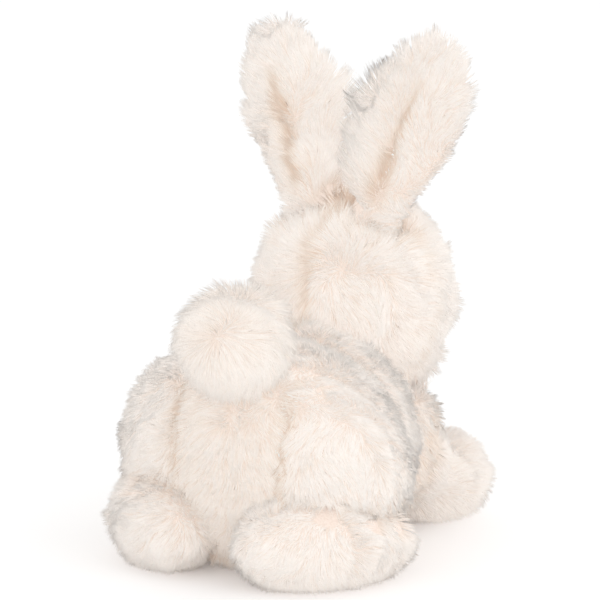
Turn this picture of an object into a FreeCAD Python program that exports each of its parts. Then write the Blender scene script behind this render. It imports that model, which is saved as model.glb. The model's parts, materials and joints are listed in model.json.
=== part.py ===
import FreeCAD, Part
import math
import os

# Stuffed bunny rabbit, lying on its belly. Millimetres, +Z up, nose towards -Y, its left side +X.
# The origin is on the resting surface, under the middle of the toy's outline.
# Every outer surface is the dense part of the pile: the loose fur tips stand a few millimetres proud.

V = FreeCAD.Vector
X_AXIS = V(1, 0, 0)
Y_AXIS = V(0, 1, 0)
Z_AXIS = V(0, 0, 1)

SKIN = 5.0  # pile fabric with its backing
EAR_SKIN = 3.0
MOVE_GAP = 0.5  # between a moving ball and its socket
SOLE_HEIGHT = 7.0  # the sole panel's seam above the floor
BELLY_HEIGHT = 12.0  # the belly panel's seam above the floor
FAR = 400.0  # larger than the toy, for cutting planes

# The pole of the torso's balls, tipped back, clear of the panel seams
TORSO_POLE = V(0, 0.2, 1)

# Torso: haunches, back and chest, each a centre and semi-axes
HAUNCHES = (V(0, 47, 56), (81, 42, 62))
BACK = (V(0, 19, 57), (63, 58, 62))
CHEST = (V(0, -34, 48), (50, 45, 50))
RUMP_HALF_WIDTH = 30.0
RUMP_SEAM_Y = 66.0

# Hind feet, splayed outwards
HIND_CENTRE = V(47.5, 68, 22)
HIND_SEMI = (46, 25, 24)
HIND_SPLAY = 40.0

# Front legs: a shoulder ball and a paw in front of it
SHOULDER = V(27, -46, 41)
SHOULDER_RADIUS = 22.5
PAW_REACH = 29.0
PAW_DROP = 21.0
PAW_SEMI = (32, 22, 22)
PAW_SPLAY = 8.0
LEG_LIFT = 26.0  # the chest clears a leg raised this far
BRISKET_SLOPE = 110.0  # the chest's lower front edge, below straight ahead

# Head: a ball that turns in a hollow of the torso, with jowls and a muzzle
HEAD_CENTRE = V(0, -43, 124.5)
HEAD_RADIUS = 50.0
JOWL = V(16, -18, -35)
JOWL_RADIUS = 18.5
MUZZLE = (V(0, -36, -11), (21, 22, 17))
HEAD_SWEEP = 62.8  # everything under the head's front half stays inside this when it turns and nods
NAPE_HOLLOW = 53.4
HOLLOW_STEP_Y = 19.0  # the deeper front hollow starts this far behind the head's centre
BACK_SEAM_Y = 6.0  # the back-of-head panels meet the face panels this far behind the centre
GUSSET_HALF_WIDTH = 13.0
GUSSET_LOW_Z = -4.0

# Neck seam: a cap of cloth between the head and the torso
NECK_RADII = (50.4, 52.9)
NECK_TILT = 40.0
NECK_HALF_ANGLE = 26.0
STITCH_HALF_ANGLE = 29.0

# Ears: a paddle that narrows to a rounded root
EAR_ROOT = V(16.5, 11, 41)  # from the head's centre
EAR_LEAN = 20.0
EAR_FORWARD = 9.0
EAR_SEMI = (25.5, 10.5, 45)
EAR_RISE = 58.5
EAR_NECK_SEMI = (17.5, 10, 29)
EAR_NECK_RISE = 25.0
EAR_ROOT_SEMI = (17, 11.5, 11.5)  # round about the hinge line, so that it turns in its socket

# Tail: a pompom in a shallow dent at the top of the rump
TAIL_CENTRE = V(0, 76, 123)
TAIL_RADIUS = 25.0
TAIL_DENT = 28.4
TAIL_TILT = 33.0
TAIL_STITCH_THICKNESS = 1.6
TAIL_STITCH_ANGLE = 20.0

# Face fittings, from the head's centre
EYE_DIRECTION = V(0.52, -0.83, 0.2)
EYE_RADIUS = 6.5
EYE_SHANK_RADIUS = 2.2
EYE_SHANK_LENGTH = 14.0
WASHER_RADIUS = 7.5
WASHER_THICKNESS = 1.6
NOSE_SEMI = (7.5, 4.5, 5.0)
NOSE_PLACE = V(0, -57.0, -4.5)
THREAD_RADIUS = 0.9


def ellipsoid(centre, semi, pole=Z_AXIS):
    """A closed ellipsoid with its axes along X, Y and Z."""
    stretch = FreeCAD.Matrix()
    stretch.scale(V(*semi))
    shape = ball(V(0, 0, 0), 1.0, pole).transformGeometry(stretch)
    shape.translate(centre)
    return shape


def ball(centre, radius, pole=Z_AXIS):
    return Part.makeSphere(radius, centre, pole)


def box(low, high):
    size = high - low
    return Part.makeBox(size.x, size.y, size.z, low)


def below(z):
    return box(V(-FAR, -FAR, -FAR), V(FAR, FAR, z))


def behind(y):
    return box(V(-FAR, y, -FAR), V(FAR, FAR, FAR))


def on_left():
    return box(V(0, -FAR, -FAR), V(FAR, FAR, FAR))


def fuse(shapes):
    joined = shapes[0]
    for shape in shapes[1:]:
        joined = joined.fuse(shape)
    return joined.removeSplitter()


def cut_all(shape, tools):
    for tool in tools:
        shape = shape.cut(tool)
    return shape


def smaller(semi, inset):
    return tuple(s - inset for s in semi)


def one_solid(shape):
    """The largest solid of a cut, without the crumbs beside it."""
    return max(shape.Solids, key=lambda solid: solid.Volume)


def mirror(shape):
    return shape.mirror(V(0, 0, 0), X_AXIS)


def save_pair(nodes, pattern, left_shape):
    """Keeps a left piece and its mirror image."""
    nodes[pattern.format("left")] = left_shape
    nodes[pattern.format("right")] = mirror(left_shape)


# Feet and legs

def hind_foot(inset):
    """The left hind foot's outline, drawn in by inset and flat on the floor."""
    shape = ellipsoid(V(0, 0, 0), smaller((HIND_SEMI[1], HIND_SEMI[0], HIND_SEMI[2]), inset))
    shape.rotate(V(0, 0, 0), Z_AXIS, HIND_SPLAY)
    shape.translate(HIND_CENTRE)
    return shape.cut(below(max(inset, 0.0)))


def front_leg(inset):
    """The left front leg's outline: the shoulder ball and the paw."""
    paw = ellipsoid(V(0, -PAW_REACH, -PAW_DROP), smaller((PAW_SEMI[1], PAW_SEMI[0], PAW_SEMI[2]), inset))
    paw.rotate(V(0, 0, 0), Z_AXIS, PAW_SPLAY)
    paw.translate(SHOULDER)
    return fuse([ball(SHOULDER, SHOULDER_RADIUS - inset), paw]).cut(below(max(inset, 0.0)))


def limb_pieces(nodes, pattern, outline):
    """Upper panel, sole panel and stuffing of one limb and its mirror image."""
    filling = outline(SKIN)
    skin = outline(0.0).cut(filling)
    sole_zone = below(SOLE_HEIGHT)
    save_pair(nodes, pattern + "_upper", one_solid(skin.cut(sole_zone)))
    save_pair(nodes, pattern + "_sole", one_solid(skin.common(sole_zone)))
    save_pair(nodes, pattern + "_stuffing", one_solid(filling))


# Torso

def leg_room(grow):
    """The wedge in front of and under the chest that the front legs lie and lift in."""
    top, low = math.radians(LEG_LIFT), math.radians(-BRISKET_SLOPE)
    middle, half = (top + low) / 2, (top - low) / 2
    back = grow / math.sin(half)
    apex = V(0, SHOULDER.y + back * math.cos(middle), SHOULDER.z - back * math.sin(middle))
    rays = [V(0, -math.cos(a), math.sin(a)) * FAR for a in (top, middle, low)]
    points = [apex] + [apex + ray for ray in rays]
    points = [p + V(-FAR / 2, 0, 0) for p in points]
    face = Part.Face(Part.makePolygon(points + points[:1]))
    return face.extrude(X_AXIS * FAR)


def head_hollow(grow):
    """The hollow in the torso that the head sits in: shallow at the nape, deeper under the jowls."""
    nape = ball(HEAD_CENTRE, NAPE_HOLLOW + grow, TORSO_POLE)
    jowls = ball(HEAD_CENTRE, HEAD_SWEEP + grow, TORSO_POLE)
    return nape.fuse(jowls.cut(behind(HEAD_CENTRE.y + HOLLOW_STEP_Y + grow)))


def torso_rooms(grow):
    """Everything that the torso leaves room for."""
    rooms = [head_hollow(grow), ball(TAIL_CENTRE, TAIL_DENT + grow, TORSO_POLE), leg_room(grow)]
    shoulder = ball(SHOULDER, SHOULDER_RADIUS + MOVE_GAP + grow, TORSO_POLE)
    foot = hind_foot(-grow)
    return rooms + [shoulder, mirror(shoulder), foot, mirror(foot)]


def torso_outline(inset):
    masses = [ellipsoid(centre, smaller(semi, inset), TORSO_POLE) for centre, semi in (HAUNCHES, BACK, CHEST)]
    return cut_all(fuse(masses).cut(below(inset)), torso_rooms(inset))


def torso_pieces(nodes):
    filling = one_solid(torso_outline(SKIN))
    skin = torso_outline(0.0).cut(filling)
    belly_zone = below(BELLY_HEIGHT)
    nodes["belly_panel"] = one_solid(skin.common(belly_zone))
    upper = skin.cut(belly_zone)
    rump_zone = box(V(-RUMP_HALF_WIDTH, RUMP_SEAM_Y, 0), V(RUMP_HALF_WIDTH, FAR, FAR))
    nodes["rump_panel"] = one_solid(upper.common(rump_zone))
    sides = upper.cut(rump_zone)
    nodes["torso_side_left"] = one_solid(sides.common(on_left()))
    nodes["torso_side_right"] = one_solid(sides.cut(on_left()))
    nodes["torso_stuffing"] = filling


# Neck

def neck_cone(half_angle):
    """A cone from the head's centre, down and back to the neck seam."""
    length = 2 * HEAD_RADIUS
    axis = V(0, math.sin(math.radians(NECK_TILT)), -math.cos(math.radians(NECK_TILT)))
    return Part.makeCone(0, length * math.tan(math.radians(half_angle)), length, HEAD_CENTRE, axis)


def neck_pieces(nodes):
    inner, outer = NECK_RADII
    shell = ball(HEAD_CENTRE, outer).cut(ball(HEAD_CENTRE, inner))
    nodes["neck_lining"] = one_solid(shell.common(neck_cone(NECK_HALF_ANGLE)))
    ring = shell.common(neck_cone(STITCH_HALF_ANGLE)).cut(neck_cone(NECK_HALF_ANGLE))
    nodes["neck_stitch"] = one_solid(ring)


# Head

def head_outline(inset):
    centre, semi = MUZZLE
    jowl = ball(JOWL, JOWL_RADIUS - inset)
    shape = fuse([ball(V(0, 0, 0), HEAD_RADIUS - inset), jowl, mirror(jowl),
                  ellipsoid(centre, smaller(semi, inset))])
    shape.translate(HEAD_CENTRE)
    socket = place_ear(ellipsoid(V(0, 0, 0), smaller(EAR_ROOT_SEMI, -MOVE_GAP - inset)))
    return cut_all(shape, [socket, mirror(socket)])


def eye_and_washer():
    """The left eye, a dome on a shank, and the washer that locks it inside the head."""
    out = V(EYE_DIRECTION).normalize()
    seat = HEAD_CENTRE + out * (HEAD_RADIUS - 1.0)
    dome = ball(seat, EYE_RADIUS, out).cut(Part.makeCylinder(EYE_RADIUS, EYE_RADIUS, seat, out * -1))
    shank = Part.makeCylinder(EYE_SHANK_RADIUS, EYE_SHANK_LENGTH, seat, out * -1)
    inside = seat - out * (SKIN + WASHER_THICKNESS)
    washer = Part.makeCylinder(WASHER_RADIUS, WASHER_THICKNESS, inside, out)
    return dome.fuse(shank).removeSplitter(), washer.cut(shank)


def mouth_thread():
    """The sewn mouth: a short line under the nose and a stroke to each side."""
    top = HEAD_CENTRE + NOSE_PLACE + V(0, 2.5, -5)
    fork = HEAD_CENTRE + V(0, -55.5, -17)
    corner = HEAD_CENTRE + V(10.5, -51, -22.5)
    runs = [(top, fork), (fork, corner), (fork, V(-corner.x, corner.y, corner.z))]
    pieces = [ball(p, THREAD_RADIUS) for p in (top, fork, corner, V(-corner.x, corner.y, corner.z))]
    for start, end in runs:
        along = end - start
        pieces.append(Part.makeCylinder(THREAD_RADIUS, along.Length, start, along))
    return fuse(pieces)


def head_pieces(nodes):
    eye, washer = eye_and_washer()
    nose = ellipsoid(HEAD_CENTRE + NOSE_PLACE, NOSE_SEMI)
    mouth = mouth_thread().cut(nose)
    fittings = [eye, mirror(eye), washer, mirror(washer), nose, mouth]
    filling = head_outline(SKIN)
    skin = cut_all(head_outline(0.0).cut(filling), fittings)
    nodes["head_stuffing"] = one_solid(cut_all(filling, fittings))
    back_zone = behind(HEAD_CENTRE.y + BACK_SEAM_Y)
    back = skin.common(back_zone)
    nodes["head_back_left"] = one_solid(back.common(on_left()))
    nodes["head_back_right"] = one_solid(back.cut(on_left()))
    front = skin.cut(back_zone)
    gusset_zone = box(V(-GUSSET_HALF_WIDTH, -FAR, HEAD_CENTRE.z + GUSSET_LOW_Z),
                      V(GUSSET_HALF_WIDTH, FAR, FAR))
    nodes["head_gusset"] = one_solid(front.common(gusset_zone))
    face = front.cut(gusset_zone)
    nodes["face_left"] = one_solid(face.common(on_left()))
    nodes["face_right"] = one_solid(face.cut(on_left()))
    save_pair(nodes, "eye_{}", eye)
    save_pair(nodes, "eye_washer_{}", washer)
    nodes["nose"] = nose
    nodes["mouth_stitch"] = mouth


# Ears

def ear_outline(inset):
    """The left ear upright at the origin, flat side to the front."""
    return fuse([ellipsoid(V(0, 0, 0), smaller(EAR_ROOT_SEMI, inset)),
                 ellipsoid(V(0, 0, EAR_NECK_RISE), smaller(EAR_NECK_SEMI, inset)),
                 ellipsoid(V(0, 0, EAR_RISE), smaller(EAR_SEMI, inset))])


def place_ear(shape):
    shape.rotate(V(0, 0, 0), X_AXIS, EAR_FORWARD)
    shape.rotate(V(0, 0, 0), Y_AXIS, EAR_LEAN)
    shape.translate(HEAD_CENTRE + EAR_ROOT)
    return shape


def ear_pieces(nodes):
    batting = ear_outline(EAR_SKIN)
    skin = ear_outline(0.0).cut(batting)
    save_pair(nodes, "ear_{}_back", place_ear(one_solid(skin.common(behind(0)))))
    save_pair(nodes, "ear_{}_lining", place_ear(one_solid(skin.cut(behind(0)))))
    save_pair(nodes, "ear_{}_batting", place_ear(one_solid(batting)))


# Tail

def tail_pieces(nodes):
    filling = ball(TAIL_CENTRE, TAIL_RADIUS - SKIN)
    nodes["tail_cover"] = ball(TAIL_CENTRE, TAIL_RADIUS).cut(filling)
    nodes["tail_stuffing"] = filling
    tilt = math.radians(TAIL_TILT)
    axis = V(0, -math.sin(tilt), -math.cos(tilt))
    length = 2 * TAIL_RADIUS
    cone = Part.makeCone(0, length * math.tan(math.radians(TAIL_STITCH_ANGLE)), length, TAIL_CENTRE, axis)
    shell = ball(TAIL_CENTRE, TAIL_DENT).cut(ball(TAIL_CENTRE, TAIL_DENT - TAIL_STITCH_THICKNESS))
    nodes["tail_stitch"] = one_solid(shell.common(cone))


def build():
    nodes = {}
    torso_pieces(nodes)
    limb_pieces(nodes, "hind_foot_{}", hind_foot)
    limb_pieces(nodes, "front_leg_{}", front_leg)
    neck_pieces(nodes)
    head_pieces(nodes)
    ear_pieces(nodes)
    tail_pieces(nodes)
    return nodes


def main():
    os.makedirs("parts", exist_ok=True)
    nodes = build()
    for name, shape in nodes.items():
        shape.exportStep(f"parts/{name}.step")
    outline = Part.makeCompound(list(nodes.values())).BoundBox
    print(len(nodes), "nodes, box", outline)


main()
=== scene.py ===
import json
import math

import bpy
import numpy as np
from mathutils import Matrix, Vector
from mathutils.bvhtree import BVHTree
from mathutils.kdtree import KDTree


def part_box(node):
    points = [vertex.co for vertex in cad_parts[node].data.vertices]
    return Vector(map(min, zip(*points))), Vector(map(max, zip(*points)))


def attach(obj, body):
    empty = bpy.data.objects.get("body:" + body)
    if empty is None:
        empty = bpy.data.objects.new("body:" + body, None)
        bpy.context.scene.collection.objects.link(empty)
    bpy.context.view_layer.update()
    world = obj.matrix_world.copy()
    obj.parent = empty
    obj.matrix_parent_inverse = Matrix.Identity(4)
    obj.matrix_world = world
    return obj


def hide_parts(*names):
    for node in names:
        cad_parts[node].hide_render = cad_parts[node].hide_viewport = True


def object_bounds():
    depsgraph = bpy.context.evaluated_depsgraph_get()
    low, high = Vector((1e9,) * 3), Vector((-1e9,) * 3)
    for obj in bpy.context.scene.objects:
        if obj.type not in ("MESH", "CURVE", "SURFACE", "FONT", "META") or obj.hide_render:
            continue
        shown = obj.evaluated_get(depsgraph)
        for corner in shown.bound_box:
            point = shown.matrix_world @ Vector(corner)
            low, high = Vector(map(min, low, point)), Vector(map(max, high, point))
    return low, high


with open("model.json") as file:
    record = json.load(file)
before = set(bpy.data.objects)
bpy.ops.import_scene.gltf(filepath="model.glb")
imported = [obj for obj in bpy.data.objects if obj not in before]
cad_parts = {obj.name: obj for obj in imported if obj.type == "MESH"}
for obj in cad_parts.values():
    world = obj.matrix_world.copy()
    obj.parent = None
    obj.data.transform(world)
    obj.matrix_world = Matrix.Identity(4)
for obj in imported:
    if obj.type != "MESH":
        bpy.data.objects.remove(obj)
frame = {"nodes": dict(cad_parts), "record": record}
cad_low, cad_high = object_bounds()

MM = 0.001
SIDES = {"left": 1.0, "right": -1.0}
NODES = frame["nodes"]


# Places read from the frame

def box_of(*names):
    """Lowest and highest corner of several nodes together, as arrays."""
    boxes = [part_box(name) for name in names]
    low = np.min([np.array(b[0]) for b in boxes], axis=0)
    high = np.max([np.array(b[1]) for b in boxes], axis=0)
    return low, high


def middle(*names):
    low, high = box_of(*names)
    return (low + high) / 2


def find_anchor(name):
    """The point that a joint turns about."""
    joint = next(j for j in frame["record"]["behaviour"]["joints"] if j["name"] == name)
    return np.array(joint["pos_m"], float)


_, HEAD_HIGH = box_of("head_back_left", "head_back_right", "face_left", "face_right")
HEAD_C = find_anchor("head_nod")
HEAD_R = HEAD_HIGH[1] - HEAD_C[1]
NOSE_C = middle("nose")
TAIL_C = middle("tail_cover")
RUMP_LOW, RUMP_HIGH = box_of("rump_panel")
FLOOR_Z = cad_low[2]
EAR_ROOTS = {side: find_anchor(f"ear_{side}_fold") for side in SIDES}


# Small vector helpers, all on arrays of rows

def unit(v):
    v = np.asarray(v, float)
    return v / np.maximum(np.linalg.norm(v, axis=-1, keepdims=True), 1e-9)


def along_surface(v, normals):
    """The part of v that lies in the surface."""
    return unit(v - normals * np.sum(v * normals, axis=1, keepdims=True))


def ramp(x, low, high):
    """0 below low, 1 above high, smooth between."""
    t = np.clip((x - low) / (high - low), 0.0, 1.0)
    return t * t * (3 - 2 * t)


WAVES = 4
WAVE_GAIN = 0.6


def wobble(points, wavelength, seed):
    """A smooth vector field without direction, about 1 long."""
    rng = np.random.RandomState(seed)
    total = np.zeros((len(points), 3))
    for _ in range(WAVES):
        wave = rng.normal(size=3) * (2 * math.pi / wavelength) * WAVE_GAIN
        total += rng.normal(size=3) * np.sin(points @ wave + rng.uniform(0, 6.28))[:, None]
    return total * WAVE_GAIN


# Meshes

def arrays(mesh):
    verts = np.empty(len(mesh.vertices) * 3)
    mesh.vertices.foreach_get("co", verts)
    mesh.calc_loop_triangles()
    tris = np.empty(len(mesh.loop_triangles) * 3, dtype=np.int32)
    mesh.loop_triangles.foreach_get("vertices", tris)
    return verts.reshape(-1, 3), tris.reshape(-1, 3)


def edges_of(mesh):
    edges = np.empty(len(mesh.edges) * 2, dtype=np.int32)
    mesh.edges.foreach_get("vertices", edges)
    return edges.reshape(-1, 2)


def add_object(name, mesh):
    obj = bpy.data.objects.new(name, mesh)
    bpy.context.scene.collection.objects.link(obj)
    return obj


def mesh_from(name, verts, faces):
    mesh = bpy.data.meshes.new(name)
    mesh.from_pydata([tuple(v) for v in verts], [], [tuple(int(i) for i in f) for f in faces])
    mesh.update()
    return mesh


def applied(obj):
    """The object's mesh with its modifiers worked in."""
    depsgraph = bpy.context.evaluated_depsgraph_get()
    depsgraph.update()
    mesh = bpy.data.meshes.new_from_object(obj.evaluated_get(depsgraph))
    obj.modifiers.clear()
    old = obj.data
    obj.data = mesh
    bpy.data.meshes.remove(old)
    return mesh


def keep_largest_shell(mesh):
    """Drops the closed surfaces inside the outer one."""
    edges = edges_of(mesh)
    label = np.arange(len(mesh.vertices))
    while True:
        low = np.minimum(label[edges[:, 0]], label[edges[:, 1]])
        new = label.copy()
        np.minimum.at(new, edges[:, 0], low)
        np.minimum.at(new, edges[:, 1], low)
        new = new[new]
        if np.array_equal(new, label):
            break
        label = new
    verts = np.empty(len(mesh.vertices) * 3)
    mesh.vertices.foreach_get("co", verts)
    verts = verts.reshape(-1, 3)
    names = np.unique(label)
    spans = [np.ptp(verts[label == n], axis=0).sum() for n in names]
    kept = label == names[int(np.argmax(spans))]
    new_index = np.cumsum(kept) - 1
    faces = [[new_index[i] for i in p.vertices] for p in mesh.polygons if kept[p.vertices[0]]]
    return verts[kept], faces


RELAX_STEPS = (0.6, -0.62)  # in, then slightly further out, so that the volume stays


def relax(verts, edges, rounds):
    """Evens a surface out without shrinking it."""
    count = np.bincount(edges.ravel(), minlength=len(verts))[:, None]
    for _ in range(rounds):
        for step in RELAX_STEPS:
            total = np.zeros_like(verts)
            np.add.at(total, edges[:, 0], verts[edges[:, 1]])
            np.add.at(total, edges[:, 1], verts[edges[:, 0]])
            verts = verts + step * (total / np.maximum(count, 1) - verts)
    return verts


def vertex_normals(mesh):
    normals = np.empty(len(mesh.vertices) * 3)
    mesh.vertices.foreach_get("normal", normals)
    return normals.reshape(-1, 3)


def write_verts(mesh, verts):
    mesh.vertices.foreach_set("co", verts.ravel())
    mesh.update()


THIN_SHARE = 0.35  # a wall is drawn in by no more than this share of its thickness
RAY_START = 0.2 * MM


def thickness(mesh):
    """How thick the body is below each vertex, one row per vertex."""
    verts, tris = arrays(mesh)
    normals = vertex_normals(mesh)
    tree = BVHTree.FromPolygons(verts.tolist(), tris.tolist())
    depth = np.full(len(verts), 1.0)
    for index, (place, normal) in enumerate(zip(verts, normals)):
        distance = tree.ray_cast(Vector(place - normal * RAY_START), Vector(-normal))[3]
        if distance is not None:
            depth[index] = distance
    return depth[:, None]


CLOTH_PRESSURE = 4.0
CLOTH_FRAMES = 20
LEAST_HELD = 0.05


def inflate(obj, seams, cap):
    """Lets a skin swell under its filling's pressure between its seams, by no more than cap."""
    start, _ = arrays(obj.data)
    held = seams(start)
    group = obj.vertex_groups.new(name="seams")
    for index in np.nonzero(held > LEAST_HELD)[0]:
        group.add([int(index)], float(held[index]), "REPLACE")
    cloth = obj.modifiers.new("Cloth", "CLOTH")
    cloth.settings.use_pressure = True
    cloth.settings.uniform_pressure_force = CLOTH_PRESSURE
    cloth.settings.effector_weights.gravity = 0.0
    cloth.settings.vertex_group_mass = "seams"
    cloth.point_cache.frame_start = 1
    cloth.point_cache.frame_end = CLOTH_FRAMES
    for step in range(1, CLOTH_FRAMES + 1):
        bpy.context.scene.frame_set(step)
    depsgraph = bpy.context.evaluated_depsgraph_get()
    swollen = np.empty(len(start) * 3)
    obj.evaluated_get(depsgraph).data.vertices.foreach_get("co", swollen)
    move = swollen.reshape(-1, 3) - start
    size = np.linalg.norm(move, axis=1, keepdims=True)
    move *= np.minimum(1.0, cap / np.maximum(size, 1e-9))
    obj.modifiers.remove(cloth)
    obj.vertex_groups.clear()
    bpy.context.scene.frame_set(1)
    write_verts(obj.data, start + move)


def outer_skin(name, nodes, voxel):
    """One closed surface round several nodes of the frame."""
    parts = [arrays(NODES[node].data) for node in nodes]
    starts = np.cumsum([0] + [len(v) for v, _ in parts])
    verts = np.vstack([v for v, _ in parts])
    tris = np.vstack([t + s for (_, t), s in zip(parts, starts)])
    obj = add_object(name, mesh_from(name, verts, tris))
    remesh = obj.modifiers.new("Remesh", "REMESH")
    remesh.mode = "VOXEL"
    remesh.voxel_size = voxel
    verts, faces = keep_largest_shell(applied(obj))
    old = obj.data
    obj.data = mesh_from(name, verts, faces)
    bpy.data.meshes.remove(old)
    return obj


class Pelt:
    """The backing cloth of one part, which its pile grows from."""

    def __init__(self, name, nodes, body, voxel, inset, rounds, seams, dent, swell):
        self.body = body
        self.obj = obj = outer_skin(name, nodes, voxel)
        start, _ = arrays(obj.data)
        verts = relax(start, edges_of(obj.data), rounds)
        write_verts(obj.data, verts)
        verts = verts - vertex_normals(obj.data) * np.minimum(inset, thickness(obj.data) * THIN_SHARE)
        write_verts(obj.data, verts)
        inflate(obj, seams, swell)
        verts, _ = arrays(obj.data)
        verts = verts - vertex_normals(obj.data) * (seams(verts) * dent)[:, None]
        write_verts(obj.data, verts)
        obj.modifiers.new("Subdivision", "SUBSURF").levels = 1
        mesh = applied(obj)
        mesh.polygons.foreach_set("use_smooth", [True] * len(mesh.polygons))
        verts, _ = arrays(mesh)
        verts[:, 2] = np.maximum(verts[:, 2], FLOOR_Z)
        write_verts(mesh, verts)
        self.verts, self.tris = arrays(mesh)
        self.normals = vertex_normals(mesh)
        self.tree = BVHTree.FromPolygons(self.verts.tolist(), self.tris.tolist())

    def scatter(self, per_mm2, rng):
        """Even random points on the surface, and its normals there."""
        a, b, c = (self.verts[self.tris[:, i]] for i in range(3))
        area = np.linalg.norm(np.cross(b - a, c - a), axis=1) / 2
        count = int(area.sum() * 1e6 * per_mm2)
        level = (np.arange(count) + rng.rand(count)) / count
        pick = np.searchsorted(np.cumsum(area) / area.sum(), level).clip(0, len(area) - 1)
        r1, r2 = np.sqrt(rng.rand(count)), rng.rand(count)
        weight = np.stack([1 - r1, r1 * (1 - r2), r1 * r2], axis=1)[:, :, None]
        corners = self.tris[pick]
        points = np.sum(self.verts[corners] * weight, axis=1)
        return points, unit(np.sum(self.normals[corners] * weight, axis=1))


# Materials

def new_material(name, rough, sheen=0.0):
    material = bpy.data.materials.new(name)
    material.use_nodes = True
    shader = material.node_tree.nodes["Principled BSDF"]
    shader.inputs["Roughness"].default_value = rough
    shader.inputs["Sheen Weight"].default_value = sheen
    shader.inputs["Specular IOR Level"].default_value = 0.25
    return material, material.node_tree, shader


def add_ramp(tree, factor, stops):
    node = tree.nodes.new("ShaderNodeValToRGB")
    elements = node.color_ramp.elements
    while len(elements) < len(stops):
        elements.new(0.5)
    for element, (place, colour) in zip(elements, stops):
        element.position = place
        element.color = (*colour, 1.0)
    tree.links.new(factor, node.inputs["Fac"])
    return node.outputs["Color"]


def multiply(tree, first, second, amount=1.0):
    node = tree.nodes.new("ShaderNodeMix")
    node.data_type = "RGBA"
    node.blend_type = "MULTIPLY"
    node.inputs["Factor"].default_value = amount
    tree.links.new(first, node.inputs["A"])
    tree.links.new(second, node.inputs["B"])
    return node.outputs["Result"]


# The dark, warm end is painted shade, reached where creases and seams lower the tone; the light end is
# tone that differs at random
TONE_AND_SHADE_STOPS = [(0.0, (0.80, 0.68, 0.59)), (0.35, (0.94, 0.89, 0.84)), (0.7, (1, 1, 1)), (1.0, (1, 1, 1))]
ROUGH_SPREAD = 0.08
RELIEF_DEPTH = 0.5 * MM


def pile_material(name, root, body, tip):
    """Pile, darker and warmer at the root as painted shade deep in the pile, and a little different
    from hair to hair.

    Each hair's UV holds its own tone across, which also carries the painted shade of creases and seams,
    and the height along it upwards.
    """
    material, tree, shader = new_material(name, 0.8)
    uv = tree.nodes.new("ShaderNodeUVMap")
    uv.uv_map = "OFBake"
    split = tree.nodes.new("ShaderNodeSeparateXYZ")
    tree.links.new(uv.outputs["UV"], split.inputs["Vector"])
    length = add_ramp(tree, split.outputs["Y"], [(0.0, root), (0.4, body), (0.85, tip), (1.0, tip)])
    tone = add_ramp(tree, split.outputs["X"], TONE_AND_SHADE_STOPS)
    tree.links.new(multiply(tree, length, tone), shader.inputs["Base Color"])
    return material


def textured_material(name, colours, scale, rough, bump, kind="NOISE", stretch=(1, 1, 1), sheen=0.0):
    """A base colour, roughness and relief from one pattern."""
    material, tree, shader = new_material(name, rough, sheen)
    place = tree.nodes.new("ShaderNodeTexCoord")
    mapping = tree.nodes.new("ShaderNodeMapping")
    mapping.inputs["Scale"].default_value = stretch
    tree.links.new(place.outputs["Object"], mapping.inputs["Vector"])
    if kind == "WAVE":
        pattern = tree.nodes.new("ShaderNodeTexWave")
        pattern.inputs["Distortion"].default_value = 1.5
    else:
        pattern = tree.nodes.new("ShaderNodeTexNoise")
        pattern.inputs["Detail"].default_value = 6.0
    pattern.inputs["Scale"].default_value = scale
    tree.links.new(mapping.outputs["Vector"], pattern.inputs["Vector"])
    value = pattern.outputs["Fac"]
    tree.links.new(add_ramp(tree, value, [(0.25, colours[0]), (0.7, colours[1])]),
                   shader.inputs["Base Color"])
    relief = tree.nodes.new("ShaderNodeBump")
    relief.inputs["Strength"].default_value = bump
    relief.inputs["Distance"].default_value = RELIEF_DEPTH
    tree.links.new(value, relief.inputs["Height"])
    tree.links.new(relief.outputs["Normal"], shader.inputs["Normal"])
    rough_map = tree.nodes.new("ShaderNodeMapRange")
    rough_map.inputs["To Min"].default_value = max(rough - ROUGH_SPREAD, 0.02)
    rough_map.inputs["To Max"].default_value = min(rough + ROUGH_SPREAD, 1.0)
    tree.links.new(value, rough_map.inputs["Value"])
    tree.links.new(rough_map.outputs["Result"], shader.inputs["Roughness"])
    return material


# Root colours are darker and warmer than the tips: painted shade deep in the pile
PILE = pile_material("cream_pile", (0.91, 0.80, 0.71), (0.94, 0.86, 0.80), (0.965, 0.91, 0.86))
LONG_PILE = pile_material("cream_long_pile", (0.90, 0.78, 0.69), (0.93, 0.84, 0.77),
                          (0.955, 0.895, 0.84))
LINING_PILE = pile_material("ear_lining_pile", (0.84, 0.67, 0.60), (0.93, 0.81, 0.75),
                            (0.96, 0.87, 0.82))
BACKING = textured_material("pile_backing", ((0.80, 0.66, 0.57), (0.90, 0.78, 0.70)), 900, 0.9, 0.8,
                            sheen=0.3)
FIBRE = textured_material("filling", ((0.82, 0.82, 0.8), (0.95, 0.95, 0.94)), 260, 0.95, 0.9,
                          stretch=(1, 1, 3))
NECK_CLOTH = textured_material("neck_cloth", ((0.8, 0.74, 0.66), (0.92, 0.87, 0.8)), 1400, 0.9, 0.6,
                               "WAVE")
SEAM_THREAD = textured_material("seam_thread", ((0.78, 0.72, 0.64), (0.93, 0.89, 0.82)), 1800, 0.7, 0.6,
                                "WAVE")
MOUTH_THREAD = textured_material("mouth_thread", ((0.36, 0.2, 0.17), (0.56, 0.34, 0.3)), 1500, 0.65,
                                 0.7, "WAVE", stretch=(1, 1, 1.6))
NOSE_FELT = textured_material("nose_felt", ((0.62, 0.36, 0.33), (0.8, 0.52, 0.48)), 2600, 0.85, 0.6,
                              sheen=0.4)
EYE_GLOSS = textured_material("eye_plastic", ((0.008, 0.005, 0.004), (0.03, 0.016, 0.01)), 160, 0.12,
                              0.02)
EYE_SHADER = EYE_GLOSS.node_tree.nodes["Principled BSDF"]
EYE_SHADER.inputs["Coat Weight"].default_value = 0.8
EYE_SHADER.inputs["Coat Roughness"].default_value = 0.04
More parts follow.
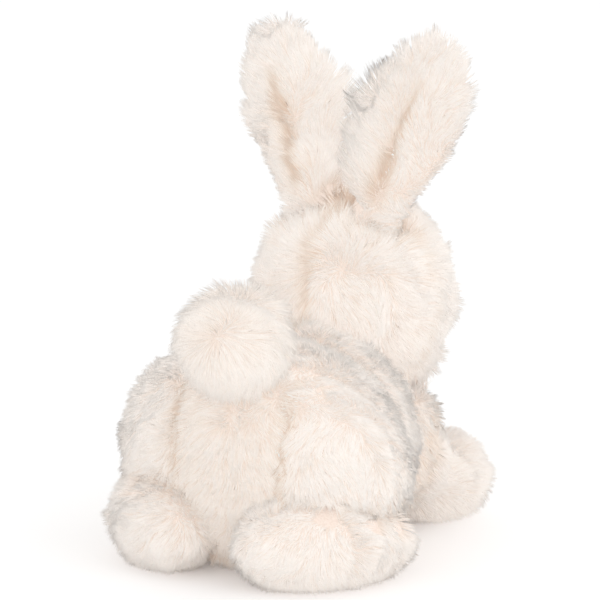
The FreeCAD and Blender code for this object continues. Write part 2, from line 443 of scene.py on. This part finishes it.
EYE_SHADER.inputs["Specular IOR Level"].default_value = 0.5
WASHER = textured_material("washer_plastic", ((0.78, 0.78, 0.75), (0.9, 0.9, 0.88)), 420, 0.45, 0.15)


def paint(obj, material):
    obj.data.materials.clear()
    obj.data.materials.append(material)


def repaint_node(name, material):
    """Puts a procedural material on a node of the frame."""
    obj = NODES[name]
    if not obj.material_slots:
        obj.data.materials.append(material)
    for part in obj.material_slots:
        part.material = material


# Pile

class Style:
    """How the pile of one part grows. Lengths in metres, lift in degrees from the surface."""

    def __init__(self, length, lift, flow, per_mm2=1.9, width=0.5 * MM, clump=6.0 * MM, gather=0.12,
                 curl=0.9 * MM, trim=None, tone=None, keep=None, material=PILE, slot="pile_fabric"):
        self.length, self.lift, self.flow = length, lift, flow
        self.per_mm2, self.width, self.clump, self.gather = per_mm2, width, clump, gather
        # tone gives painted shade, darker along seams and hollows
        self.curl, self.trim, self.tone, self.keep = curl, trim, tone, keep
        self.material, self.slot = material, slot


def nearest(points, centres):
    tree = KDTree(len(centres))
    for index, centre in enumerate(centres):
        tree.insert(centre, index)
    tree.balance()
    return np.array([tree.find(p)[1] for p in points])


DEEPEST = 14 * MM  # no hair reaches further into a neighbouring part than this
CREASE_REACH = 12 * MM  # pile this near to a neighbouring part is a little darker and warmer: painted shade in the crease between parts
CREASE_SHADE = 0.5
SUNK = 2 * MM  # pile still grows this far inside a neighbouring part, so that no bare rim shows
OVERLAP = 4.5 * MM  # how far the pile of one part lies over the next part's backing


def near_to(points, other, reach):
    """The points near a part, each with its nearest place there, the normal, and its depth inside."""
    low, high = other.verts.min(axis=0) - reach, other.verts.max(axis=0) + reach
    for index in np.nonzero(np.all((points > low) & (points < high), axis=1))[0]:
        place, normal, _, distance = other.tree.find_nearest(points[index])
        inside = (Vector(points[index]) - place).dot(normal) < 0.0 and distance < DEEPEST
        yield index, place, normal, distance if inside else -distance


def keep_out(points, others):
    """Moves points that are inside a neighbouring part out to its surface."""
    for other in others:
        for index, place, normal, depth in near_to(points, other, 0.0):
            if depth > 0.0:
                points[index] = place + normal * OVERLAP
    return points


def gap_to(points, others, reach):
    """Each point's distance from the nearest neighbouring part, at most reach, negative inside one."""
    gap = np.full(len(points), reach)
    for other in others:
        for index, _, _, depth in near_to(points, other, reach):
            gap[index] = min(gap[index], -depth)
    return gap


SWIRLS = ((0.035, 5), (0.012, 6))  # wavelength in metres and seed of each
SWIRL_STRENGTH = 0.4
BEND_RISE, BEND_LEAN = 0.8, 0.6  # a hair starts off more upright than it ends


def hair_shape(roots, normals, style):
    """Bend point and tip of every hair on its own."""
    flow = style.flow(roots, normals)
    for wavelength, seed in SWIRLS:
        flow = flow + wobble(roots, wavelength, seed) * SWIRL_STRENGTH
    flow = flow - normals * np.sum(flow * normals, axis=1, keepdims=True)
    flow = flow / np.maximum(np.linalg.norm(flow, axis=1, keepdims=True), 1.0)
    length = style.length * np.ones(len(roots))
    if style.trim:
        length = length * style.trim(roots, normals)
    lift = math.radians(style.lift)
    out = unit(normals * math.sin(lift) + flow * math.cos(lift))
    bend = roots + unit(normals * BEND_RISE + flow * BEND_LEAN) * (length * 0.5)[:, None]
    return bend, roots + out * length[:, None]


TUFT_VARIATION = (0.6, 1.25)
HOME_LEAN = 0.35  # how much of a tuft's sway its hairs' middles take


def gather_tufts(roots, bend, tip, size, pull_tip, pull_bend, sway, per_mm2, rng):
    """Draws the hairs towards their tuft's middle hair. Returns bends, tips and the tufts' tones."""
    count = max(int(len(roots) / (per_mm2 * (size / MM) ** 2)), 8)
    pick = rng.choice(len(roots), count, replace=False)
    home = pick[nearest(roots, roots[pick])]
    swing = np.zeros((len(roots), 3))
    swing[pick] = rng.normal(size=(count, 3)) * sway
    gather = np.zeros(len(roots))
    gather[pick] = rng.uniform(*TUFT_VARIATION, count) * pull_tip
    shade = np.zeros(len(roots))
    shade[pick] = rng.uniform(-1, 1, count)
    pull = np.clip(gather[home], 0, 0.9)[:, None]
    tip = tip + (tip[home] - tip) * pull + swing[home]
    bend = bend + (bend[home] - bend) * pull_bend + swing[home] * HOME_LEAN
    return bend, tip, shade[home] * 0.5


LOWEST_ROOT = 1.5 * MM
LENGTH_SPREAD = (0.8, 1.1)
LONG_SHARE, LONG_FACTOR = 0.05, 1.15
FINE_TUFT = 0.36  # size of the small tufts inside the large ones
FLYAWAY = 0.35 * MM
FLOOR_GAP = 0.4 * MM
MEAN_TONE, TUFT_TONE, HAIR_TONE = 0.68, 0.08, 0.06


def grow(pelt, name, style, others, seed):
    """The pile on one pelt, as closed tapering hairs gathered in tufts."""
    rng = np.random.RandomState(seed)
    roots, normals = pelt.scatter(style.per_mm2, rng)
    wanted = roots[:, 2] > FLOOR_Z + LOWEST_ROOT
    if style.keep:
        wanted &= style.keep(roots, normals)
    roots, normals = roots[wanted], normals[wanted]
    gap = gap_to(roots, others, CREASE_REACH)
    free = gap > -SUNK
    roots, normals, gap = roots[free], normals[free], gap[free]
    bend, tip = hair_shape(roots, normals, style)
    vary = rng.uniform(*LENGTH_SPREAD, len(roots))[:, None]
    vary[rng.rand(len(roots)) < LONG_SHARE] *= LONG_FACTOR
    bend, tip = roots + (bend - roots) * vary, roots + (tip - roots) * vary
    tuft_tone = np.zeros(len(roots))
    for size, pull_tip, pull_bend, sway in ((style.clump, style.gather, 0.22, style.curl),
                                            (style.clump * FINE_TUFT, 0.25, 0.1, style.curl * 0.5)):
        bend, tip, shade = gather_tufts(roots, bend, tip, size, pull_tip, pull_bend, sway,
                                        style.per_mm2, rng)
        tuft_tone += shade
    tip = tip + rng.normal(size=tip.shape) * FLYAWAY
    tip, bend = keep_out(tip, others), keep_out(bend, others)
    lowest = FLOOR_Z + FLOOR_GAP
    bend[:, 2] = np.maximum(bend[:, 2], lowest + rng.uniform(0, 1.5, len(roots)) * MM)
    tip[:, 2] = np.maximum(tip[:, 2], lowest + rng.uniform(0, 1.2, len(roots)) * MM)
    tone = MEAN_TONE + TUFT_TONE * tuft_tone + rng.normal(size=len(roots)) * HAIR_TONE
    # Painted shade: darker near neighbouring parts, and along each part's seams and hollows through
    # style.tone
    tone = tone - CREASE_SHADE * (1 - ramp(gap, 0.0, CREASE_REACH))
    if style.tone:
        tone = tone + style.tone(roots)
    write_hairs(pelt, name, style, roots, bend, tip, normals, np.clip(tone, 0.02, 0.98), rng)


HAIRS_PER_PIECE = 15000
RING_PLACES = (0.0, 0.55)
RING_WIDTHS = (0.9, 0.8)
OWN_SHADE = 4.0  # how much a hair's own roundness shows beside the part's


def write_hairs(pelt, name, style, roots, bend, tip, normals, tone, rng):
    """Builds the hairs in pieces of a size that is kept whole."""
    pieces = max(1, math.ceil(len(roots) / HAIRS_PER_PIECE))
    order = rng.permutation(len(roots))
    for number, part in enumerate(np.array_split(order, pieces)):
        own = name if pieces == 1 else f"{name}_{number + 1}"
        mesh = hair_mesh(own, roots[part], bend[part], tip[part], normals[part], tone[part], style, rng)
        obj = add_object(own, mesh)
        paint(obj, style.material)
        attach(obj, pelt.body)
        # Pile of this colour lets most of the light through, so the hairs stop none of it.
        obj.visible_shadow = False
        obj.visible_diffuse = False
        obj.visible_glossy = False


def hair_mesh(name, root, bend, tip, normals, tone, style, rng):
    count, rings = len(root), len(RING_PLACES)
    side_seed = unit(rng.normal(size=(count, 3)))
    per_hair = rings * 3 + 1
    verts = np.empty((count, per_hair, 3))
    shading = np.empty((count, per_hair, 3))
    for ring, (t, wide) in enumerate(zip(RING_PLACES, RING_WIDTHS)):
        centre = (1 - t) ** 2 * root + 2 * t * (1 - t) * bend + t * t * tip
        along = unit((1 - t) * (bend - root) + t * (tip - bend))
        across = unit(np.cross(along, side_seed))
        other = np.cross(along, across)
        for corner in range(3):
            angle = corner * 2 * math.pi / 3
            offset = across * math.cos(angle) + other * math.sin(angle)
            verts[:, ring * 3 + corner] = centre + offset * (style.width * wide / 2)
            shading[:, ring * 3 + corner] = unit(offset * OWN_SHADE + normals)
    verts[:, -1] = tip
    shading[:, -1] = normals
    quads, tris = [], [(0, 2, 1)]
    for ring in range(rings - 1):
        for corner in range(3):
            a, b = ring * 3 + corner, ring * 3 + (corner + 1) % 3
            quads.append((a, b, b + 3, a + 3))
    last = (rings - 1) * 3
    tris += [(last + c, last + (c + 1) % 3, rings * 3) for c in range(3)]
    base = (np.arange(count) * per_hair)[:, None, None]
    quad_corners = (np.array(quads)[None] + base).reshape(-1)
    tri_corners = (np.array(tris)[None] + base).reshape(-1)
    mesh = bpy.data.meshes.new(name)
    mesh.vertices.add(count * per_hair)
    mesh.vertices.foreach_set("co", verts.reshape(-1))
    corners = np.concatenate([quad_corners, tri_corners]).astype(np.int32)
    mesh.loops.add(len(corners))
    mesh.loops.foreach_set("vertex_index", corners)
    quad_count, tri_count = len(quad_corners) // 4, len(tri_corners) // 3
    starts = np.concatenate([np.arange(quad_count) * 4, quad_count * 4 + np.arange(tri_count) * 3])
    mesh.polygons.add(quad_count + tri_count)
    mesh.polygons.foreach_set("loop_start", starts.astype(np.int32))
    mesh.polygons.foreach_set("use_smooth", np.ones(quad_count + tri_count, bool))
    heights = np.array([t for t in RING_PLACES for _ in range(3)] + [1.0])
    uv = np.stack([np.repeat(tone, per_hair), np.tile(heights, count)], axis=1)[corners]
    mesh.uv_layers.new(name="OFBake").data.foreach_set("uv", uv.ravel())
    mesh.update()
    mesh.normals_split_custom_set_from_vertices(shading.reshape(-1, 3))
    return mesh


# Seams and creases: 1 on the line, 0 away from it

SEAM_WIDTH = 4 * MM
SPINE_DEPTH, BELLY_DEPTH = 0.6, 0.5  # beside the rump's seams, which are 1
BELLY_SEAM_Z, BELLY_SEAM_WIDTH = 12 * MM, 3 * MM
HEAD_BACK_DEPTH, FACE_DEPTH = 0.7, 0.35
FACE_SEAM_SHIFT = 6 * MM  # behind the head's middle


def line(distance, width):
    return np.exp(-(distance / width) ** 2)


def torso_seams(p):
    behind = ramp(p[:, 1], RUMP_LOW[1] - 6 * MM, RUMP_LOW[1] + 2 * MM)
    sides = line(np.abs(p[:, 0]) - RUMP_HIGH[0], SEAM_WIDTH) * behind
    spine = line(p[:, 0], SEAM_WIDTH) * (1 - behind) * SPINE_DEPTH
    belly = line(p[:, 2] - BELLY_SEAM_Z, BELLY_SEAM_WIDTH) * BELLY_DEPTH
    return np.clip(sides + spine + belly, 0, 1)


def head_seams(p):
    behind = ramp(p[:, 1], HEAD_C[1], HEAD_C[1] + 10 * MM)
    face = line(p[:, 1] - HEAD_C[1] - FACE_SEAM_SHIFT, SEAM_WIDTH) * FACE_DEPTH
    return line(p[:, 0], SEAM_WIDTH) * behind * HEAD_BACK_DEPTH + face


def no_seams(p):
    return np.zeros(len(p))


def ear_axes(side):
    """The ear's root, its directions up and outwards, and its length."""
    root = EAR_ROOTS[side]
    verts, _ = arrays(NODES[f"ear_{side}_back"].data)
    reach = np.linalg.norm(verts - root, axis=1)
    up = unit(verts[np.argmax(reach)] - root)
    out = unit(np.cross([0.0, 1.0, 0.0], up))
    if out[0] * SIDES[side] < 0:
        out = -out
    return root, up, out, reach.max()


def ear_seams(side):
    """The hollow up the middle of an ear's back."""
    root, up, out, _ = ear_axes(side)

    def seams(p):
        high = (p - root) @ up
        ends = ramp(high, 5 * MM, 20 * MM) * (1 - ramp(high, 60 * MM, 85 * MM))
        return line((p - root) @ out, SEAM_WIDTH) * ends
    return seams


# Pelts: name, nodes, body, voxel, inset, rounds of relaxing, seams, dent at the seams, swelling

OUTER_TORSO = ["torso_side_left", "torso_side_right", "rump_panel", "belly_panel"]
OUTER_HEAD = ["head_back_left", "head_back_right", "face_left", "face_right", "head_gusset"]

torso = Pelt("torso_pelt", OUTER_TORSO + ["torso_stuffing"], "torso", 4 * MM, 3.5 * MM, 4,
             torso_seams, 2.5 * MM, 3 * MM)
head = Pelt("head_pelt", OUTER_HEAD + ["head_stuffing"], "head", 4 * MM, 3.5 * MM, 3,
            head_seams, 1.0 * MM, 2 * MM)
tail = Pelt("tail_pelt", ["tail_cover", "tail_stuffing"], "tail", 3 * MM, 4 * MM, 2,
            no_seams, 0.0, 2 * MM)
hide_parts(*OUTER_TORSO)
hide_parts(*OUTER_HEAD)
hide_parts("tail_cover")
feet, legs, ears = {}, {}, {}
for side in SIDES:
    for group, stem, body in ((feet, f"hind_foot_{side}", "torso"),
                              (legs, f"front_leg_{side}", f"front_leg_{side}")):
        group[side] = Pelt(stem + "_pelt", [stem + "_upper", stem + "_sole", stem + "_stuffing"],
                           body, 3.5 * MM, 3 * MM, 3, no_seams, 0.0, 2 * MM)
        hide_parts(stem + "_upper", stem + "_sole")
    stem = f"ear_{side}"
    ears[side] = Pelt(stem + "_pelt", [stem + "_back", stem + "_lining", stem + "_batting"], stem,
                      3 * MM, 2 * MM, 2, ear_seams(side), 1.0 * MM, 1.5 * MM)
    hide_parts(stem + "_back", stem + "_lining")
for pelt in [torso, head, tail, *feet.values(), *legs.values(), *ears.values()]:
    paint(pelt.obj, BACKING)
    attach(pelt.obj, pelt.body)


# Which way the pile lies

CROWN = HEAD_C + HEAD_R * unit([-0.12, 0.87, 0.47])
TAIL_CROWN = TAIL_C + unit([-0.1, 0.5, 0.85]) * (TAIL_C[2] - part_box("tail_cover")[0][2])
FACE_WHORL = NOSE_C + np.array([0, -4 * MM, 6 * MM])
DOWN = np.array([0.0, 0.0, -1.0])


def off_whorl(p, centre, size):
    """0 at a whorl's centre, 1 away from it, as a column."""
    return 1 - np.exp(-np.linalg.norm(p - centre, axis=1) / size)[:, None]


def near_ears(p):
    """1 at the root of an ear, 0 a little way off."""
    gaps = [np.linalg.norm(p - root, axis=1) for root in EAR_ROOTS.values()]
    return 1 - ramp(np.min(gaps, axis=0), 18 * MM, 30 * MM)


def head_flow(p, n):
    """Away from the crown behind, away from the nose in front, up round the ears."""
    face = ramp(-(p[:, 1] - HEAD_C[1]), 12 * MM, 36 * MM)[:, None]
    behind = along_surface(p - CROWN, n) * (1 - face) * off_whorl(p, CROWN, 12 * MM)
    flow = behind + along_surface(p - FACE_WHORL, n) * face * 0.9 + DOWN * 0.3
    return flow - DOWN * near_ears(p)[:, None]


SHORTEST = 0.3  # of the full pile, round the eyes, nose and mouth


def short_round(p, centre, near, far):
    return SHORTEST + (1 - SHORTEST) * ramp(np.linalg.norm(p - centre, axis=1), near, far)


def head_trim(p, n):
    """Shorter round the eyes, nose and mouth, longer round and between the ears."""
    trim = np.ones(len(p))
    for side in SIDES:
        trim = np.minimum(trim, short_round(p, middle(f"eye_{side}"), 11 * MM, 24 * MM))
    trim = np.minimum(trim, short_round(p, NOSE_C, 9 * MM, 30 * MM))
    trim = np.minimum(trim, short_round(p, middle("mouth_stitch"), 9 * MM, 26 * MM))
    between_ears = line(p[:, 0] - HEAD_C[0], 14 * MM) * ramp(p[:, 2] - HEAD_C[2], 36 * MM, 46 * MM)
    return trim * (1 + 0.6 * between_ears) * (1 + 0.3 * near_ears(p))


def torso_flow(p, n):
    """Back along the sides, down over the rump, and in over the rump's seams."""
    behind = ramp(p[:, 1], RUMP_LOW[1] - 10 * MM, RUMP_LOW[1] + 5 * MM)
    side = np.sign(p[:, 0])
    off_seam = np.abs(p[:, 0]) - RUMP_HIGH[0]
    part = side * np.sign(off_seam) * line(off_seam, 12 * MM) * behind
    flow = np.zeros_like(p)
    flow[:, 0] = side * 0.35 - part * 0.5 * (1 - line(p[:, 0], 10 * MM))
    flow[:, 1] = 0.75 * (1 - behind)
    flow[:, 2] = -0.75 - 0.25 * behind
    return flow


def tail_flow(p, n):
    return along_surface(p - TAIL_CROWN, n) * off_whorl(p, TAIL_CROWN, 16 * MM) * 0.5 + DOWN * 0.7


def foot_flow(side):
    """Away from the ankle and a little down."""
    _, high = box_of(f"hind_foot_{side}_upper")
    ankle = np.array([SIDES[side] * 30 * MM, high[1] - 60 * MM, high[2] + 5 * MM])

    def flow(p, n):
        return (unit(p - ankle) + DOWN * 0.3) * off_whorl(p, ankle, 6 * MM)
    return flow


def leg_flow(p, n):
    """Forward to the paw."""
    flow = np.zeros_like(p)
    flow[:, 0] = np.sign(p[:, 0]) * 0.25
    flow[:, 1] = -0.9
    flow[:, 2] = -0.35
    return flow


def ear_flow(side):
    """Up the ear and out to its edges."""
    root, up, out, _ = ear_axes(side)

    def flow(p, n):
        across = (p - root) @ out
        rise = ramp((p - root) @ up, 2 * MM, 24 * MM)[:, None]
        return up * (0.5 * rise + 0.5) + out * (across / (22 * MM))[:, None] * 0.4
    return flow


def ear_trim(side):
    """Longer on the inner edge, where the two ears' pile meets, and shorter low on the outer edge."""
    root, up, out, reach = ear_axes(side)

    def trim(p, n):
        inner, outer = ramp(-(n @ out), 0.1, 0.8), ramp(n @ out, 0.1, 0.8)
        high = (p - root) @ up
        longer = 1.2 * inner * ramp(high, -8 * MM, 2 * MM) * (1 - ramp(high, 48 * MM, 80 * MM))
        tip = 0.15 * ramp(high, reach - 22 * MM, reach - 4 * MM)
        shorter = 0.45 * outer * (1 - ramp(high, 36 * MM, 60 * MM))
        return 1 + longer + tip - shorter
    return trim


def ear_front(side, wanted):
    """The front face of an ear, inside its rim, or everything but that."""
    root, up, out, _ = ear_axes(side)
    front = unit(np.cross(up, out))
    if front[1] > 0:
        front = -front

    def keep(p, n):
        inside = (n @ front > 0.55) & ((p - root) @ up > 14 * MM)
        return inside == wanted
    return keep


def torso_painted_shade(p):
    """Painted shade: darker along the seams' creases, and a little darker on the panel under the tail,
    where the tail shades it.
    """
    behind = ramp(p[:, 1], RUMP_LOW[1] - 10 * MM, RUMP_LOW[1] + 10 * MM)
    off_panel = ramp(np.abs(p[:, 0]), RUMP_HIGH[0] - 12 * MM, RUMP_HIGH[0] + 20 * MM)
    return -0.6 * torso_seams(p) - 0.15 * behind * (1 - off_panel)


# Painted shade, darker along a part's seams and hollows
def painted_crease_shade(seams):
    def tone(p):
        return -0.65 * seams(p)
    return tone


TORSO_STYLE = Style(10 * MM, 44, torso_flow, tone=torso_painted_shade)
HEAD_STYLE = Style(11.5 * MM, 46, head_flow, trim=head_trim, tone=painted_crease_shade(head_seams))
TAIL_STYLE = Style(15 * MM, 38, tail_flow, clump=5 * MM, material=LONG_PILE, slot="long_pile")
LEG_STYLE = Style(11 * MM, 46, leg_flow)
grow(torso, "torso_pile", TORSO_STYLE, [head, tail, *feet.values(), *legs.values()], 11)
grow(head, "head_pile", HEAD_STYLE, [torso, tail, *ears.values(), *legs.values()], 12)
grow(tail, "tail_pile", TAIL_STYLE, [torso, head], 13)
for side, far_side in (("left", "right"), ("right", "left")):
    foot_style = Style(10 * MM, 44, foot_flow(side))
    back_style = Style(10.5 * MM, 46, ear_flow(side), keep=ear_front(side, False), trim=ear_trim(side),
                       tone=painted_crease_shade(ear_seams(side)))
    lining_style = Style(6 * MM, 40, ear_flow(side), keep=ear_front(side, True),
                         material=LINING_PILE, slot="ear_lining")
    grow(feet[side], f"hind_foot_{side}_pile", foot_style, [torso, feet[far_side]], 14)
    grow(legs[side], f"front_leg_{side}_pile", LEG_STYLE, [torso, head], 15)
    grow(ears[side], f"ear_{side}_back_pile", back_style, [head], 16)
    grow(ears[side], f"ear_{side}_lining_pile", lining_style, [head], 17)


# Nose and mouth

NOSE_ROWS, NOSE_COLUMNS = 28, 48
POLE_GAP = 0.02  # radians left open at the top and bottom, and capped
NARROW, WIDE = 0.66, 1.0  # the nose's width below and above, as shares of its box
GROOVE_DEPTH, GROOVE_WIDTH = 0.16, 0.13
TOP_FLATTENING = 0.12


def nose_point(polar, turn, half):
    """A point on the flocked nose: wide above, narrow below, with a groove down its lower half."""
    x, y, z = math.sin(polar) * math.cos(turn), math.sin(polar) * math.sin(turn), math.cos(polar)
    wide = NARROW + (WIDE - NARROW) * float(ramp(z, -0.9, 0.35))
    groove = GROOVE_DEPTH * math.exp(-(x / GROOVE_WIDTH) ** 2) * float(ramp(-z, -0.1, 0.4)) * (y < 0)
    flat = 1.0 - TOP_FLATTENING * (z > 0) * (1 - abs(x))
    return NOSE_C + np.array([x * wide, y + groove, z * flat]) * half


def add_piece(name, verts, faces, material, node):
    """A smooth piece that rides the head and stands for one node."""
    obj = add_object(name, mesh_from(name, verts, faces))
    obj.data.polygons.foreach_set("use_smooth", [True] * len(obj.data.polygons))
    paint(obj, material)
    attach(obj, "head")
    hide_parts(node)


def add_nose():
    low, high = box_of("nose")
    polars = np.linspace(POLE_GAP, math.pi - POLE_GAP, NOSE_ROWS)
    turns = np.linspace(0, 2 * math.pi, NOSE_COLUMNS, endpoint=False)
    verts = [nose_point(polar, turn, (high - low) / 2) for polar in polars for turn in turns]
    faces = []
    for row in range(NOSE_ROWS - 1):
        for column in range(NOSE_COLUMNS):
            a = row * NOSE_COLUMNS + column
            b = row * NOSE_COLUMNS + (column + 1) % NOSE_COLUMNS
            faces.append((a, a + NOSE_COLUMNS, b + NOSE_COLUMNS, b))
    faces.append(tuple(range(NOSE_COLUMNS)))
    faces.append(tuple(reversed(range((NOSE_ROWS - 1) * NOSE_COLUMNS, NOSE_ROWS * NOSE_COLUMNS))))
    add_piece("nose_pad", verts, faces, NOSE_FELT, "nose")


THREAD_RADIUS = 0.9 * MM
THREAD_PITCH = 3 * MM
PLY_OFFSET, PLY_RADIUS = 0.45, 0.6  # as shares of the thread's radius
PLY_CORNERS = 8
MOUTH_STEPS = 40


def add_rope(verts, faces, path):
    """Adds a thread of two twisted plies along a path."""
    steps, corners = len(path), PLY_CORNERS
    tangents = unit(np.gradient(path, axis=0))
    across = unit(np.cross(tangents, [0.0, 1.0, 0.05]))
    other = np.cross(tangents, across)
    travelled = np.concatenate([[0], np.cumsum(np.linalg.norm(np.diff(path, axis=0), axis=1))])
    for ply in (0.0, math.pi):
        base = len(verts)
        for i in range(steps):
            turn = 2 * math.pi * travelled[i] / THREAD_PITCH + ply
            aside = across[i] * math.cos(turn) + other[i] * math.sin(turn)
            centre = path[i] + aside * THREAD_RADIUS * PLY_OFFSET
            for corner in range(corners):
                angle = 2 * math.pi * corner / corners
                rim = across[i] * math.cos(angle) + other[i] * math.sin(angle)
                verts.append(centre + rim * THREAD_RADIUS * PLY_RADIUS)
        for i in range(steps - 1):
            for corner in range(corners):
                a, b = base + i * corners + corner, base + i * corners + (corner + 1) % corners
                faces.append((a, b, b + corners, a + corners))
        faces.append(tuple(base + c for c in reversed(range(corners))))
        faces.append(tuple(base + (steps - 1) * corners + c for c in range(corners)))


def add_mouth():
    """The sewn mouth, lying on the short pile under the nose."""
    low, high = box_of("mouth_stitch")
    front = low[1] + 2 * THREAD_RADIUS
    proud = np.array([0, -0.6 * MM, 0])
    top = np.array([0, front, high[2]]) + proud
    fork = np.array([0, front, low[2] + 6.5 * MM]) + proud
    t = np.linspace(0, 1, MOUTH_STEPS)[:, None]
    verts, faces = [], []
    add_rope(verts, faces, top + (fork - top) * t)
    for side in SIDES.values():
        end = np.array([side * (high[0] - THREAD_RADIUS), high[1] - THREAD_RADIUS,
                        low[2] + THREAD_RADIUS]) + proud
        dip = (fork + end) / 2 + np.array([0, -0.6 * MM, -2.6 * MM])
        add_rope(verts, faces, (1 - t) ** 2 * fork + 2 * t * (1 - t) * dip + t * t * end)
    add_piece("mouth_thread", verts, faces, MOUTH_THREAD, "mouth_stitch")


add_nose()
add_mouth()


# Fittings and inner pieces

for side in SIDES:
    repaint_node(f"eye_{side}", EYE_GLOSS)
    repaint_node(f"eye_washer_{side}", WASHER)
    for node in (f"ear_{side}_batting", f"hind_foot_{side}_stuffing", f"front_leg_{side}_stuffing"):
        repaint_node(node, FIBRE)
repaint_node("neck_lining", NECK_CLOTH)
for node in ("neck_stitch", "tail_stitch"):
    repaint_node(node, SEAM_THREAD)
for node in ("torso_stuffing", "head_stuffing", "tail_stuffing"):
    repaint_node(node, FIBRE)


# Floor, light and camera

FLOOR_HALF = 6.0
WORLD_STRENGTH = 1.09
KEY_PLACE = Vector((-1.3, -0.1, 1.1))  # from the middle of the toy
KEY_SIZE, KEY_POWER = 1.4, 4.0
CAMERA_AZIMUTH, CAMERA_HEIGHT = math.radians(31.0), math.radians(13.5)
CAMERA_DISTANCE = 3.0
CAMERA_LENS, CAMERA_SENSOR = 351.0, 36.0
TARGET_SHIFT = Vector((-9.1, 27.2, 4.5)) * MM


def add_floor():
    corners = [(x * FLOOR_HALF, y * FLOOR_HALF, 0) for x, y in ((-1, -1), (1, -1), (1, 1), (-1, 1))]
    obj = add_object("floor", mesh_from("floor", corners, [(0, 1, 2, 3)]))
    paint(obj, textured_material("floor_white", ((0.93, 0.93, 0.93), (0.95, 0.95, 0.95)), 3, 0.9, 0.0))


def add_key_light(centre):
    data = bpy.data.lights.new("key", "AREA")
    data.shape = "DISK"
    data.size = KEY_SIZE
    data.energy = KEY_POWER
    obj = bpy.data.objects.new("key", data)
    bpy.context.scene.collection.objects.link(obj)
    obj.location = centre + KEY_PLACE
    obj.rotation_euler = (-KEY_PLACE).to_track_quat("-Z", "Y").to_euler()


def add_soft_light():
    world = bpy.data.worlds.new("studio")
    world.use_nodes = True
    background = world.node_tree.nodes["Background"]
    background.inputs["Color"].default_value = (1, 1, 1, 1)
    background.inputs["Strength"].default_value = WORLD_STRENGTH
    bpy.context.scene.world = world
    bpy.context.scene.view_settings.view_transform = "Standard"


def add_camera(centre):
    ahead = Vector((math.sin(CAMERA_AZIMUTH), -math.cos(CAMERA_AZIMUTH), 0)) * math.cos(CAMERA_HEIGHT)
    ahead.z = -math.sin(CAMERA_HEIGHT)
    data = bpy.data.cameras.new("camera")
    data.sensor_width = CAMERA_SENSOR
    data.lens = CAMERA_LENS
    camera = bpy.data.objects.new("camera", data)
    bpy.context.scene.collection.objects.link(camera)
    camera.location = centre + TARGET_SHIFT - ahead * CAMERA_DISTANCE
    camera.rotation_euler = ahead.to_track_quat("-Z", "Y").to_euler()
    bpy.context.scene.camera = camera


toy_middle = (Vector(cad_low) + Vector(cad_high)) / 2
add_floor()
add_soft_light()
add_key_light(toy_middle)
add_camera(toy_middle)
